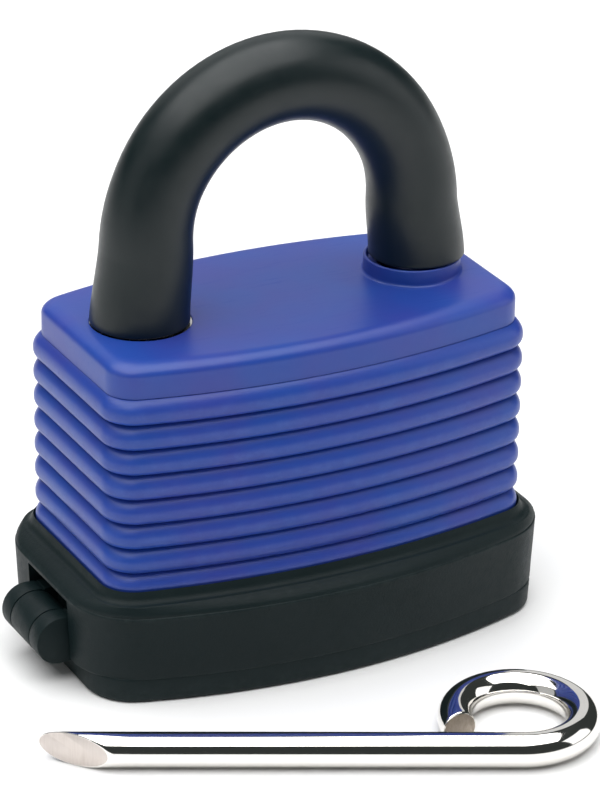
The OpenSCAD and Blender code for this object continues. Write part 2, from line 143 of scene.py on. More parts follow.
class Skin:
    """Points in millimetres, faces and a value per point for rub wear and painted edge highlight, which
    become one mesh object.
    """

    def __init__(self):
        self.points = []
        self.wear = []
        self.faces = []
        self.marked = {}

    def ring(self, points, wear=0.0):
        first = len(self.points)
        self.points.extend(Vector(p) for p in points)
        self.wear.extend([wear] * len(points))
        return list(range(first, first + len(points)))

    def flat_ring(self, points, z, wear=0.0):
        return self.ring([(x, y, z) for x, y in points], wear)

    def bridge(self, a, b):
        """Quads between two closed rings of equal length, facing outwards if anticlockwise with b above a."""
        n = len(a)
        for i in range(n):
            j = (i + 1) % n
            self.faces.append((a[i], a[j], b[j], b[i]))

    def stack(self, rings):
        for a, b in zip(rings, rings[1:]):
            self.bridge(a, b)
        return rings[-1]

    def fill(self, outer, holes=(), up=True, slot=0):
        """Flat face inside the outer ring and outside the hole rings."""
        loops = [outer, *holes]
        flat = [i for loop in loops for i in loop]
        centre = sum((self.points[i] for i in outer), Vector()) / len(outer)
        normal = Vector()
        for i in range(len(outer)):
            normal += (self.points[outer[i - 1]] - centre).cross(self.points[outer[i]] - centre)
        normal.normalize()
        turn = normal.rotation_difference(Vector((0, 0, 1)))
        shapes = [[(turn @ (self.points[i] - centre)).to_2d().to_3d() for i in loop] for loop in loops]
        for tri in tessellate_polygon(shapes):
            a, b, c = (flat[i] for i in tri)
            facing = (self.points[b] - self.points[a]).cross(self.points[c] - self.points[a])
            if facing.length < SLIVER:
                continue
            if (facing.dot(normal) > 0) != up:
                a, b, c = c, b, a
            self.marked[len(self.faces)] = slot
            self.faces.append((a, b, c))

    def build(self, name, sharp=SMOOTH_BELOW, place=None):
        """The mesh object, smooth but for edges sharper than that many degrees."""
        mesh = bpy.data.meshes.new(name)
        place = place or Matrix()
        mesh.from_pydata([(place @ p) * MM for p in self.points], [], self.faces)
        for i, slot in self.marked.items():
            mesh.polygons[i].material_index = slot
        # Per-point value that paints edges paler: partly rub wear, partly painted highlight.
        wear = mesh.attributes.new("wear", "FLOAT", "POINT")
        wear.data.foreach_set("value", self.wear)
        mesh.validate()
        return finish_mesh(mesh, name, sharp)


def finish_mesh(mesh, name, sharp):
    """Welds and smooths the mesh, points its faces outwards and puts it in the scene."""
    work = bmesh.new()
    work.from_mesh(mesh)
    bmesh.ops.remove_doubles(work, verts=work.verts, dist=WELD_M)
    bmesh.ops.recalc_face_normals(work, faces=work.faces)
    work.to_mesh(mesh)
    work.free()
    mesh.shade_smooth()
    mesh.set_sharp_from_angle(angle=math.radians(sharp))
    piece = bpy.data.objects.new(name, mesh)
    bpy.context.scene.collection.objects.link(piece)
    return piece


def arc(radius, start, end, steps):
    """(across, up) offsets along an arc round the origin, angles in degrees."""
    for i in range(steps + 1):
        a = math.radians(start + (end - start) * i / steps)
        yield radius * math.cos(a), radius * math.sin(a)


def cut(target, tool, operation="DIFFERENCE"):
    """Applies a boolean to the target's mesh and removes the tool."""
    modifier = target.modifiers.new("cut", "BOOLEAN")
    modifier.operation = operation
    modifier.solver = "EXACT"
    modifier.object = tool
    shape = target.evaluated_get(bpy.context.evaluated_depsgraph_get())
    mesh = bpy.data.meshes.new_from_object(shape)
    target.modifiers.clear()
    target.data = mesh
    bpy.data.objects.remove(tool)


# ---- Materials ----


class Nodes:
    """Short names for the shader nodes that the materials share."""

    def __init__(self, name):
        self.material = bpy.data.materials.new(name)
        self.material.use_nodes = True
        self.tree = self.material.node_tree
        self.shader = self.tree.nodes["Principled BSDF"]
        self.where = self.add("ShaderNodeTexCoord").outputs["Object"]

    def add(self, kind, **inputs):
        node = self.tree.nodes.new(kind)
        for key, value in inputs.items():
            self.feed(node.inputs[key.replace("_", " ")], value)
        return node

    def feed(self, socket, value):
        if isinstance(value, bpy.types.NodeSocket):
            self.tree.links.new(value, socket)
        else:
            socket.default_value = value

    def noise(self, size_mm, detail=3.0, rough=0.55, stretch=(1, 1, 1)):
        """Noise whose blobs are about that size. Stretch makes them longer along an axis."""
        where = self.add("ShaderNodeMapping", Vector=self.where)
        where.inputs["Scale"].default_value = [1 / s for s in stretch]
        node = self.add("ShaderNodeTexNoise", Vector=where.outputs[0], Scale=1 / (size_mm * MM))
        node.inputs["Detail"].default_value = detail
        node.inputs["Roughness"].default_value = rough
        return node.outputs["Fac"]

    def between(self, value, low, high, to_low, to_high):
        node = self.add("ShaderNodeMapRange", Value=value)
        for key, number in zip(("From Min", "From Max", "To Min", "To Max"), (low, high, to_low, to_high)):
            node.inputs[key].default_value = number
        return node.outputs["Result"]

    def times(self, a, b):
        node = self.tree.nodes.new("ShaderNodeMath")
        node.operation = "MULTIPLY"
        self.feed(node.inputs[0], a)
        self.feed(node.inputs[1], b)
        return node.outputs[0]

    def blend(self, share, a, b):
        """Colour a where share is 0 and b where it is 1."""
        node = self.tree.nodes.new("ShaderNodeMix")
        node.data_type = "RGBA"
        self.feed(node.inputs[0], share)
        self.feed(node.inputs[6], a if isinstance(a, bpy.types.NodeSocket) else (*a, 1))
        self.feed(node.inputs[7], b if isinstance(b, bpy.types.NodeSocket) else (*b, 1))
        return node.outputs[2]

    def bump(self, height, depth_mm, strength=1.0, over=None):
        node = self.add("ShaderNodeBump", Height=height, Strength=strength)
        node.inputs["Distance"].default_value = depth_mm * MM
        if over is not None:
            self.feed(node.inputs["Normal"], over)
        return node.outputs["Normal"]

    # Reads the per-point value of rub wear and painted edge highlight.
    def wear(self):
        node = self.tree.nodes.new("ShaderNodeAttribute")
        node.attribute_name = "wear"
        return node.outputs["Fac"]

    def surface(self, colour, roughness, metallic=0.0, normal=None, **constants):
        for key, value in (("Base Color", colour), ("Roughness", roughness)):
            self.feed(self.shader.inputs[key], (*value, 1) if isinstance(value, tuple) else value)
        self.shader.inputs["Metallic"].default_value = metallic
        if normal is not None:
            self.feed(self.shader.inputs["Normal"], normal)
        for key, value in constants.items():
            self.shader.inputs[key.replace("_", " ")].default_value = value
        return self.material


def blue_plastic():
    """Satin blue moulding that drifts towards violet, painted paler on the ribs' crests, the top edge and the
    collar's lip: partly rub wear, partly painted highlight.
    """
    n = Nodes("blue_plastic")
    drift = n.between(n.noise(9, 2), 0.35, 0.65, 0, 1)
    base = n.blend(drift, (0.014, 0.058, 0.330), (0.028, 0.050, 0.310))
    # Paler blue where the per-point value is high: partly rub wear, partly painted edge highlight.
    rub_and_highlight = n.times(n.wear(), n.between(n.noise(1.6, 5, 0.7), 0.45, 0.75, 0, 1))
    colour = n.blend(n.times(rub_and_highlight, 0.3), base, (0.06, 0.13, 0.46))
    scuffs = n.between(n.noise(0.5, 6, 0.7, (9, 1, 1)), 0.55, 0.8, 0, 1)
    rough = n.between(n.times(scuffs, n.noise(4)), 0, 0.6, 0.37, 0.54)
    sink = n.bump(n.noise(7, 1), 0.10, 0.3)
    grain = n.bump(n.noise(0.12, 2), 0.006, 0.5, sink)
    return n.surface(colour, rough, normal=grain, IOR=1.5, Specular_IOR_Level=0.45)


def black_plastic():
    """Dark slate moulding with a fine spark-eroded grain, painted paler on the shoulder's edge and the lid's
    foot: partly rub wear, partly painted highlight.
    """
    n = Nodes("black_plastic")
    cloud = n.between(n.noise(6, 3), 0.35, 0.7, 0, 1)
    base = n.blend(cloud, (0.0038, 0.0110, 0.0122), (0.0056, 0.0134, 0.0146))
    # Paler grey where the per-point value is high: partly rub wear, partly painted edge highlight.
    rub_and_highlight = n.times(n.wear(), n.between(n.noise(0.9, 5, 0.7), 0.4, 0.7, 0, 1))
    colour = n.blend(rub_and_highlight, base, (0.04, 0.055, 0.056))
    rough = n.between(n.noise(0.8, 5, 0.65), 0.3, 0.75, 0.44, 0.58)
    grain = n.bump(n.noise(0.26, 4, 0.65), 0.040, 0.7)
    return n.surface(colour, rough, normal=grain, IOR=1.5, Specular_IOR_Level=0.18)


def black_sleeve():
    """Satin tube, a little greener where it is handled, with faint rubbed patches."""
    n = Nodes("black_sleeve")
    cloud = n.between(n.noise(7, 4), 0.35, 0.7, 0, 1)
    colour = n.blend(cloud, (0.0014, 0.0074, 0.0090), (0.0034, 0.0100, 0.0110))
    rough = n.between(n.noise(2.2, 6, 0.7), 0.35, 0.75, 0.34, 0.46)
    skin = n.bump(n.noise(0.6, 4, 0.6), 0.010, 0.5)
    return n.surface(colour, rough, normal=skin, IOR=1.5, Specular_IOR_Level=0.42)


def metal(name, pale, dark, rough_low, rough_high, lines=(1, 1, 1), size=1.2, grain=0.004):
    """Metal whose tone and roughness vary in lines along the longest stretch."""
    n = Nodes(name)
    streak = n.noise(size, 5, 0.65, lines)
    stain = n.between(n.noise(6, 3), 0.35, 0.7, 0, 1)
    colour = n.blend(n.times(n.between(streak, 0.3, 0.7, 0, 1), stain), pale, dark)
    rough = n.between(streak, 0.3, 0.7, rough_low, rough_high)
    return n.surface(colour, rough, 1.0, n.bump(streak, grain, 0.6))


def worn_dial(name, colour, rough):
    """Painted or filled surface of a number wheel."""
    n = Nodes(name)
    patch = n.between(n.noise(1.1, 5, 0.7), 0.35, 0.75, 0, 1)
    tone = n.blend(n.times(patch, 0.5), colour, tuple(c * 0.6 + 0.05 for c in colour))
    return n.surface(tone, n.between(patch, 0, 1, rough, rough + 0.18), normal=n.bump(patch, 0.01, 0.4))


MATERIALS = {
    "blue_plastic": blue_plastic(),
    "black_plastic": black_plastic(),
    "black_sleeve": black_sleeve(),
    "plate_steel": metal("plate_steel", (0.60, 0.59, 0.56), (0.42, 0.41, 0.37), 0.26, 0.42, (12, 1, 12)),
    "bright_steel": metal("bright_steel", (0.70, 0.69, 0.67), (0.52, 0.51, 0.49), 0.18, 0.32, (1, 1, 6)),
    "hardened_steel": metal("hardened_steel", (0.66, 0.66, 0.66), (0.45, 0.45, 0.46), 0.14, 0.30, (1, 1, 8)),
    "bright_nickel": metal(
        "bright_nickel", (0.86, 0.84, 0.81), (0.80, 0.78, 0.74), 0.045, 0.10, (6, 6, 1), 0.9, 0.0015
    ),
    "spring_steel": metal("spring_steel", (0.50, 0.50, 0.51), (0.33, 0.33, 0.35), 0.22, 0.38, (4, 4, 1), 0.5),
    "cast_zinc": metal(
        "cast_zinc", (0.46, 0.46, 0.45), (0.30, 0.30, 0.30), 0.42, 0.62, (1, 1, 1), 0.35, 0.02
    ),
    "brass": metal("brass", (0.78, 0.58, 0.24), (0.52, 0.36, 0.14), 0.20, 0.36, (1, 8, 8), 0.4),
    "wheel_black": worn_dial("wheel_black", (0.022, 0.022, 0.024), 0.32),
}
CUT_METAL = metal("cut_metal", (0.68, 0.62, 0.58), (0.54, 0.48, 0.44), 0.30, 0.46, (1, 1, 14), 0.16, 0.010)
END_METAL = metal("sawn_end", (0.42, 0.36, 0.30), (0.22, 0.19, 0.15), 0.36, 0.52, (1, 1, 2), 0.3, 0.016)
NUMERAL_WHITE = worn_dial("numeral_white", (0.78, 0.77, 0.72), 0.5)


def dress(piece, slot, body, *nodes, extra=()):
    """Gives a piece its finish, its body and the CAD nodes that it stands for."""
    for material in (MATERIALS[slot], *extra):
        piece.data.materials.append(material)
    if nodes:
        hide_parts(*nodes)
    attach(piece, body)
    return piece


# ---- Jacket: ribbed wall, plain band, soft top edge, heel leg's collar and toe leg's hole ----

# In BAND_FOOT, COLLAR_DISH and BORE_MOUTH each pair is a distance sideways and a distance along Z.
CREST = (jacket_hi.x, 10.9, jacket_hi.y, 3.7)
TOP_Z = 37.2
BAND_Z = 33.6
RIB_COUNT = 8
RIB_PITCH = 2.8
RIB_STEPS = 16
RIB_GROOVE = 0.88
RIB_RISE_END = 0.38
RIB_FALL_START = 0.46
RIB_CORNER_LOSS = 0.5
FIRST_RIB_GAP = 0.05
BAND_INSET = 0.76
BAND_CORNER = 3.4
BAND_FOOT = ((RIB_GROOVE, 0), (RIB_GROOVE - 0.1, 0.06), (BAND_INSET, 0.3))
TOP_ROUND = 1.7
TOP_ROUND_HIGH = 1.25
TOP_CORNER_LOSS = 0.4
# The top edge is painted paler: partly rub wear, partly painted highlight.
TOP_WEAR_AND_HIGHLIGHT = 0.35
COLLAR_X = LEG_X - 0.25
COLLAR_R = 5.2
COLLAR_LIP = 0.38
COLLAR_FILLET = 0.35
COLLAR_MARGIN = 0.15
COLLAR_DISH = ((0.03, 0.25), (0.15, 0.38))
# The collar's lip is painted paler: partly rub wear, partly painted highlight.
COLLAR_WEAR_AND_HIGHLIGHT = 0.5
BORE_R = 3.95
BORE_MOUTH = ((0.2, 0.42), (0, 0.6))
HOLE_EDGE = 0.12
HOLE_MARGIN = 0.06
TOE_LIP_R = 5.33
FERRULE_GAP = 0.03
FERRULE_COVER = 0.02
HOLLOW = inset(CREST, 2.25, 1.6)


def rib_inset(share):
    """How far in from the crest the rib's face is, at a share of the pitch above its lower groove."""
    if share < RIB_RISE_END:
        bulge = (1 - (1 - share / RIB_RISE_END) ** 2.2) ** 0.6
    elif share < RIB_FALL_START:
        bulge = 1.0
    else:
        bulge = (1 - ((share - RIB_FALL_START) / (1 - RIB_FALL_START)) ** 1.9) ** 0.8
    return RIB_GROOVE * (1 - bulge)


def jacket_wall(skin):
    """Rings from the hidden foot up over the ribs and the band to the flat of the top."""
    rings = [skin.flat_ring(outline(CREST), jacket_lo.z)]
    lowest = BAND_Z - RIB_COUNT * RIB_PITCH
    rings.append(skin.flat_ring(outline(CREST), lowest - FIRST_RIB_GAP))
    for rib in reversed(range(RIB_COUNT)):
        foot = BAND_Z - (rib + 1) * RIB_PITCH
        for step in range(RIB_STEPS):
            share = (1 - math.cos(math.pi * step / RIB_STEPS)) / 2
            by = rib_inset(share)
            shape = inset(CREST, by, CREST[3] - RIB_CORNER_LOSS * by)
            # The rib crests are painted paler: partly rub wear, partly painted highlight.
            crest_wear_and_highlight = (1 - by / RIB_GROOVE) ** 6
            rings.append(skin.flat_ring(outline(shape), foot + share * RIB_PITCH, crest_wear_and_highlight))
    for by, up in BAND_FOOT:
        rings.append(skin.flat_ring(outline(inset(CREST, by, BAND_CORNER)), BAND_Z + up))
    band = inset(CREST, BAND_INSET, BAND_CORNER)
    for across, up in arc(TOP_ROUND, 0, 90, 9):
        by = TOP_ROUND - across
        shape = inset(band, by, BAND_CORNER - TOP_CORNER_LOSS * by)
        z = TOP_Z - TOP_ROUND_HIGH + up * TOP_ROUND_HIGH / TOP_ROUND
        rings.append(skin.flat_ring(outline(shape), z, TOP_WEAR_AND_HIGHLIGHT * across / TOP_ROUND))
    flat = inset(band, TOP_ROUND + 0.12, BAND_CORNER - TOP_CORNER_LOSS * TOP_ROUND - 0.05)
    rings.append(skin.flat_ring(outline(flat), TOP_Z))
    return rings


def collar(skin):
    """Rings from the flat of the top up the collar, over its thin lip, into its dish and down the bore."""
    reach = COLLAR_R + COLLAR_FILLET
    shape = [(reach + COLLAR_MARGIN, TOP_Z)]
    for across, up in arc(COLLAR_FILLET, 270, 180, 7):
        shape.append((reach + across, TOP_Z + COLLAR_FILLET + up))
    lip_z = jacket_hi.z - COLLAR_LIP / 2
    for across, up in arc(COLLAR_LIP / 2, 0, 180, 8):
        shape.append((COLLAR_R - COLLAR_LIP / 2 + across, lip_z + up))
    dish_r = COLLAR_R - COLLAR_LIP
    shape += [(dish_r - by, lip_z - down) for by, down in COLLAR_DISH]
    rings = []
    for radius, z in shape:
        rings.append(skin.flat_ring(circle(COLLAR_X, 0, radius), z, COLLAR_WEAR_AND_HIGHLIGHT if z > lip_z else 0))
    bore = [(BORE_R + out, lip_z - down) for out, down in BORE_MOUTH]
    for radius, z in [*bore, (BORE_R, steel_hi.z)]:
        rings.append(skin.flat_ring(circle(LEG_X, 0, radius), z))
    return rings


def toe_hole(skin):
    """Rings from the flat of the top over the hole's soft edge, back over the ferrule and down its wall."""
    reach = TOE_LIP_R + HOLE_EDGE
    shape = [(reach + HOLE_MARGIN, TOP_Z)]
    for across, up in arc(HOLE_EDGE, 90, 180, 4):
        shape.append((reach + across, TOP_Z - HOLE_EDGE + up))
    under_lip = ferrule_hi.z + FERRULE_COVER
    wall_r = TOE_HOLE_R + FERRULE_GAP
    shape += [(TOE_LIP_R, under_lip), (wall_r, under_lip), (wall_r, steel_hi.z)]
    return [skin.flat_ring(circle(TOE_HOLE_X, 0, radius), z) for radius, z in shape]


def jacket():
    skin = Skin()
    wall = jacket_wall(skin)
    heel = collar(skin)
    toe = toe_hole(skin)
    skin.stack(wall)
    skin.stack(heel)
    skin.stack(toe)
    skin.fill(wall[-1], (heel[0], toe[0]))
    inner = [skin.flat_ring(outline(HOLLOW), z) for z in (jacket_lo.z, steel_hi.z)]
    skin.bridge(inner[0], wall[0])
    skin.bridge(inner[1], inner[0])
    skin.fill(inner[1], (heel[-1], toe[-1]), up=False)
    return dress(skin.build("ribbed_jacket"), "blue_plastic", "lock_body", "jacket")


# ---- Skirt and lid, with the hinge barrel between them ----

SKIRT_RIM = (skirt_hi.x, 11.8, skirt_hi.y, 7.9)
SKIRT_FOOT = inset(SKIRT_RIM, 0.32, 7.6)
FOOT_ROUND = 0.5
FOOT_ROUND_CORNER = 7.5
FOOT_FLAT_CORNER = 7.3
SHOULDER_Z = 10.1
SHOULDER_ROUND = 0.22
# The shoulder's rounded edge is painted paler: partly rub wear, partly painted highlight.
SHOULDER_WEAR_AND_HIGHLIGHT = 0.25
SHOULDER_CROWN = 0.12
SHOULDER_STEPS = 6
LIP_START = 0.02
LIP_EDGE_DROP = 0.1
LIP_TIP_SHARE = 0.45
LIP_INNER_DROP = 0.3
LEDGE = inset(CREST, -1.3, 4.9)
LEDGE_Z = 11.2
LIP = inset(CREST, -0.4, 4.1)
STEEL_SEAT = inset(CREST, 2.1, 1.5)
JACKET_SEAT = inset(CREST, -0.06, 3.76)
FOOT_Z = skirt_lo.z + 0.2
SEAT_Z = 4.35
HINGE_X = (hinge_lo.x + hinge_hi.x) / 2
HINGE_Z = (hinge_lo.z + hinge_hi.z) / 2
BARREL_R = HINGE_X - skirt_lo.x
HINGE_Y = -0.65
BARREL_HALF = 4.65
KNUCKLE_HALF = 2.3
EAR_WIDTH = 2.2
POCKET_HALF = 4.95
POCKET_BACK = HINGE_X + BARREL_R + 0.2
POCKET_TOP = 9.6
POCKET_ROUND = 0.35
BAR_END_ROUND = 0.09
TOOL_END_ROUND = 0.01
EAR_GROOVES = (2.4, 1.3)
EAR_FLAT_DROP = 0.1
EAR_GROOVE_DROP = 0.26
EAR_FOOT_GAP = 0.1
EAR_OVERLAP = 0.6
BORE_BLIND = 0.6
HINGE_PIN_R = 0.8
BARREL_CLEARANCE = 0.25
WEB_LOW = 0.9
WEB_DROP = 0.15


def skirt_rings(skin):
    """Rings from the inner seat out under the foot, up the drafted wall, over the shoulder and back down."""
    rings = [skin.flat_ring(outline(STEEL_SEAT), FOOT_Z)]
    rings.append(skin.flat_ring(outline(inset(SKIRT_FOOT, FOOT_ROUND + 0.05, FOOT_FLAT_CORNER)), FOOT_Z))
    wall_low, wall_high = FOOT_Z + FOOT_ROUND, SHOULDER_Z - SHOULDER_ROUND
    for across, up in arc(FOOT_ROUND, -84, 0, 6):
        shape = inset(SKIRT_FOOT, FOOT_ROUND - across, FOOT_ROUND_CORNER)
        rings.append(skin.flat_ring(outline(shape), wall_low + up))
    for share in (0.25, 0.5, 0.75, 0.95):
        z = wall_low + share * (wall_high - wall_low)
        rings.append(skin.flat_ring(outline(mix(SKIRT_FOOT, SKIRT_RIM, share)), z))
    for across, up in arc(SHOULDER_ROUND, 0, 62, 5):
        by = SHOULDER_ROUND - across
        shape = inset(SKIRT_RIM, by, SKIRT_RIM[3] - by)
        rings.append(skin.flat_ring(outline(shape), wall_high + up, SHOULDER_WEAR_AND_HIGHLIGHT))
    top = skirt_hi.z
    for i in range(1, SHOULDER_STEPS + 1):
        share = i / SHOULDER_STEPS
        crown = SHOULDER_CROWN * math.sin(math.pi * share)
        z = SHOULDER_Z + (LEDGE_Z - SHOULDER_Z) * share + crown
        rings.append(skin.flat_ring(outline(mix(SKIRT_RIM, LEDGE, share)), z))
    # A hollow fillet rises from the ledge to the thin lip round the jacket.
    for across, up in arc(1, 270, 196, 6):
        z = LEDGE_Z + LIP_START + (top - LIP_EDGE_DROP - LEDGE_Z) * (1 + up)
        rings.append(skin.flat_ring(outline(mix(LEDGE, LIP, -across * 0.97 + 0.03)), z))
    rings.append(skin.flat_ring(outline(mix(LIP, JACKET_SEAT, LIP_TIP_SHARE)), top))
    rings.append(skin.flat_ring(outline(JACKET_SEAT), top - LIP_INNER_DROP))
    rings.append(skin.flat_ring(outline(JACKET_SEAT), SEAT_Z))
    rings.append(skin.flat_ring(outline(STEEL_SEAT), SEAT_Z))
    return rings


def rounded_box(name, lo, hi, radius):
    """A box whose upright edges are round."""
    corners = [(hi[0], lo[1], -90), (hi[0], hi[1], 0), (lo[0], hi[1], 90), (lo[0], lo[1], 180)]
    flat = []
    for x, y, start in corners:
        cx = x - radius if x == hi[0] else x + radius
        cy = y - radius if y == hi[1] else y + radius
        flat += [(cx + across, cy + up) for across, up in arc(radius, start, start + 90, 5)]
    skin = Skin()
    rings = [skin.flat_ring(flat, z) for z in (lo[2], hi[2])]
    skin.bridge(*rings)
    skin.fill(rings[0])
    skin.fill(rings[1])
    return skin.build(name)


def along_y(name, profile, y0, y1, soft=BAR_END_ROUND):
    """A bar of that (x, z) profile along Y, its ends slightly rounded. Profile goes round a centre point."""
    cx = sum(x for x, _ in profile) / len(profile)
    cz = sum(z for _, z in profile) / len(profile)
    skin = Skin()
    rings = []
    middle = soft * SOFT_MIDDLE
    ends = [(y0, soft), (y0 + middle, middle), (y0 + soft, 0)]
    for y, by in ends + [(y0 + y1 - y, by) for y, by in reversed(ends)]:
        shrink = []
        for x, z in profile:
            reach = math.hypot(x - cx, z - cz)
            k = (reach - by) / reach
            shrink.append((cx + (x - cx) * k, y, cz + (z - cz) * k))
        rings.append(skin.ring(shrink))
    skin.stack(rings)
    skin.fill(rings[0])
    skin.fill(rings[-1])
    return skin.build(name)


def ear_profile():
    """Round outboard, with a flat top that has two shallow grooves and runs back into the pocket."""
    top = HINGE_Z + BARREL_R
    flat, groove = top - EAR_FLAT_DROP, top - EAR_GROOVE_DROP
    back = POCKET_BACK + EAR_OVERLAP
    low = skirt_lo.z + EAR_FOOT_GAP
    points = [(back, low), (back, flat)]
    for out in EAR_GROOVES:
        x = HINGE_X + out
        points += [(x + 0.18, flat), (x + 0.08, groove), (x - 0.08, groove), (x - 0.18, flat)]
    points.append((HINGE_X + 0.3, top - 0.02))
    meet = math.degrees(math.acos((HINGE_Z - low) / BARREL_R))
    for across, up in arc(BARREL_R, 90, 270 + meet, 30):
        points.append((HINGE_X + across, HINGE_Z + up))
    return points


def knuckle_profile():
    """Round outboard, with a web that runs down into the lid's rim."""
    web_top = RIM_Z - WEB_DROP
    points = [(HINGE_X + 4, WEB_LOW), (HINGE_X + 4, web_top), (HINGE_X + 2.3, web_top)]
    for across, up in arc(BARREL_R, -30, 232, 34):
        points.append((HINGE_X + across, HINGE_Z + up))
    points.append((HINGE_X + 1.9, WEB_LOW))
    return points


def pin_bore(y0, y1):
    hole = [(HINGE_X + x, HINGE_Z + z) for x, z in arc(HINGE_PIN_R, 0, 345, 23)]
    return along_y("bore", hole, y0, y1, TOOL_END_ROUND)


def skirt():
    skin = Skin()
    rings = skirt_rings(skin)
    skin.stack(rings)
    skin.bridge(rings[-1], rings[0])
    piece = skin.build("skirt_shell")
    lo = (HINGE_X - 3, HINGE_Y - POCKET_HALF, -1)
    hi = (POCKET_BACK, HINGE_Y + POCKET_HALF, POCKET_TOP)
    cut(piece, rounded_box("pocket", lo, hi, POCKET_ROUND))
    for y in (HINGE_Y - BARREL_HALF, HINGE_Y + BARREL_HALF - EAR_WIDTH):
        cut(piece, along_y("ear", ear_profile(), y, y + EAR_WIDTH), "UNION")
    cut(piece, pin_bore(HINGE_Y + BORE_BLIND - BARREL_HALF, HINGE_Y + BARREL_HALF + 1))
    piece = tidy(piece, "base_skirt")
    return dress(piece, "black_plastic", "lock_body", "skirt")


def tidy(piece, name):
    """A cut piece's mesh as a new object, welded and smooth."""
    mesh = piece.data
    bpy.data.objects.remove(piece)
    mesh.name = name
    mesh.materials.clear()
    return finish_mesh(mesh, name, CUT_SMOOTH_BELOW)


LID_RIM = (lid_hi.x, 11.7, lid_hi.y, 5.6)
LID_PANEL = inset(LID_RIM, 3.2, 4.0)
LID_PANEL_DEEP = 0.22
LID_FOOT_ROUND = 0.6
# The lid's rounded foot is painted paler: partly rub wear, partly painted highlight.
LID_FOOT_WEAR_AND_HIGHLIGHT = 0.2
LID_TOP_ROUND = 0.42
LID_TRAY_HALF = (12.9, 8.9)
LID_TRAY_Z = 1.4
LID_TRAY_ROUND = 0.8
PLUG_RIM = inset(CREST, 2.9, 1.2)
PLUG_INNER = inset(PLUG_RIM, 1.3, 1.0)
PLUG_HIGH = 0.4
RIM_Z = 3.05


def lid():
    skin = Skin()
    soft = LID_FOOT_ROUND
    rings = [skin.flat_ring(outline(inset(LID_PANEL, 0.25, 3.8)), LID_PANEL_DEEP)]
    rings.append(skin.flat_ring(outline(LID_PANEL), 0))
    rings.append(skin.flat_ring(outline(inset(LID_RIM, soft + 0.1, LID_RIM[3] - soft)), 0))
    for across, up in arc(soft, -90, 0, 6):
        by = soft - across
        rings.append(skin.flat_ring(outline(inset(LID_RIM, by, LID_RIM[3] - by)), soft + up, LID_FOOT_WEAR_AND_HIGHLIGHT))
    edge = LID_TOP_ROUND
    for across, up in arc(edge, 0, 90, 6):
        shape = inset(LID_RIM, edge - across, LID_RIM[3] - edge)
        rings.append(skin.flat_ring(outline(shape), RIM_Z - edge + up))
    plug = [(PLUG_RIM, 0), (PLUG_RIM, PLUG_HIGH), (PLUG_INNER, PLUG_HIGH), (PLUG_INNER, 0)]
    for shape, up in plug:
        rings.append(skin.flat_ring(outline(shape), RIM_Z + up))
    skin.stack(rings)
    skin.fill(rings[0], up=False)
    skin.fill(rings[-1])
    piece = skin.build("lid_shell")
    half_x, half_y = LID_TRAY_HALF
    cut(piece, rounded_box("tray", (-half_x, -half_y, LID_TRAY_Z), (half_x, half_y, 9), LID_TRAY_ROUND))
    clear = [(HINGE_X + x, HINGE_Z + z) for x, z in arc(BARREL_R + BARREL_CLEARANCE, 0, 352, 44)]
    cut(piece, along_y("clear", clear, HINGE_Y - POCKET_HALF, HINGE_Y + POCKET_HALF, TOOL_END_ROUND))
    cut(piece, along_y("knuckle", knuckle_profile(), HINGE_Y - KNUCKLE_HALF, HINGE_Y + KNUCKLE_HALF), "UNION")
    cut(piece, pin_bore(HINGE_Y - BARREL_HALF, HINGE_Y + BARREL_HALF))
    return dress(tidy(piece, "base_lid"), "black_plastic", "lid_cover", "lid")


# ---- Shackle sleeve: one tube over the bow, its feet slightly flared ----

SLEEVE_R = 4.64
SLEEVE_FOOT_R = 5.25
SLEEVE_END_ROUND = 0.16
TOE_FOOT_GAP = 0.03
HEEL_FOOT_GAP = 0.15
FOOT_X = LEG_X + 0.25
CROWN_HALF = 15.5
STEEL_R = 3.76
TUBE_STEPS = 56
CROWN_STEPS = 56
LEG_STEPS = 16
FLARE_TOP = 52.0
FLARE_POWER = 1.2
LEAN_LINEAR = 0.35


def sleeve_path(toe_z, heel_z):
    """Centre points from the toe foot over the crown to the heel foot, with their direction angles."""
    crown_z = sleeve_hi.z - SLEEVE_R
    spring_z = crown_z - (CROWN_HALF + 0.45)
    points = []
    for side, foot_z in ((-1, toe_z), (1, heel_z)):
        leg = []
        for i in range(LEG_STEPS):
            share = i / LEG_STEPS
            ease = share * share * (3 - 2 * share)
            lean = LEAN_LINEAR * share + (1 - LEAN_LINEAR) * ease
            out = FOOT_X + (CROWN_HALF - FOOT_X) * lean
            leg.append((side * out, foot_z + (spring_z - foot_z) * share))
        if side < 0:
            points += leg
            for i in range(CROWN_STEPS + 1):
                a = math.pi * (1 - i / CROWN_STEPS)
                points.append((CROWN_HALF * math.cos(a), spring_z + (crown_z - spring_z) * math.sin(a)))
        else:
            points += reversed(leg)
    return points


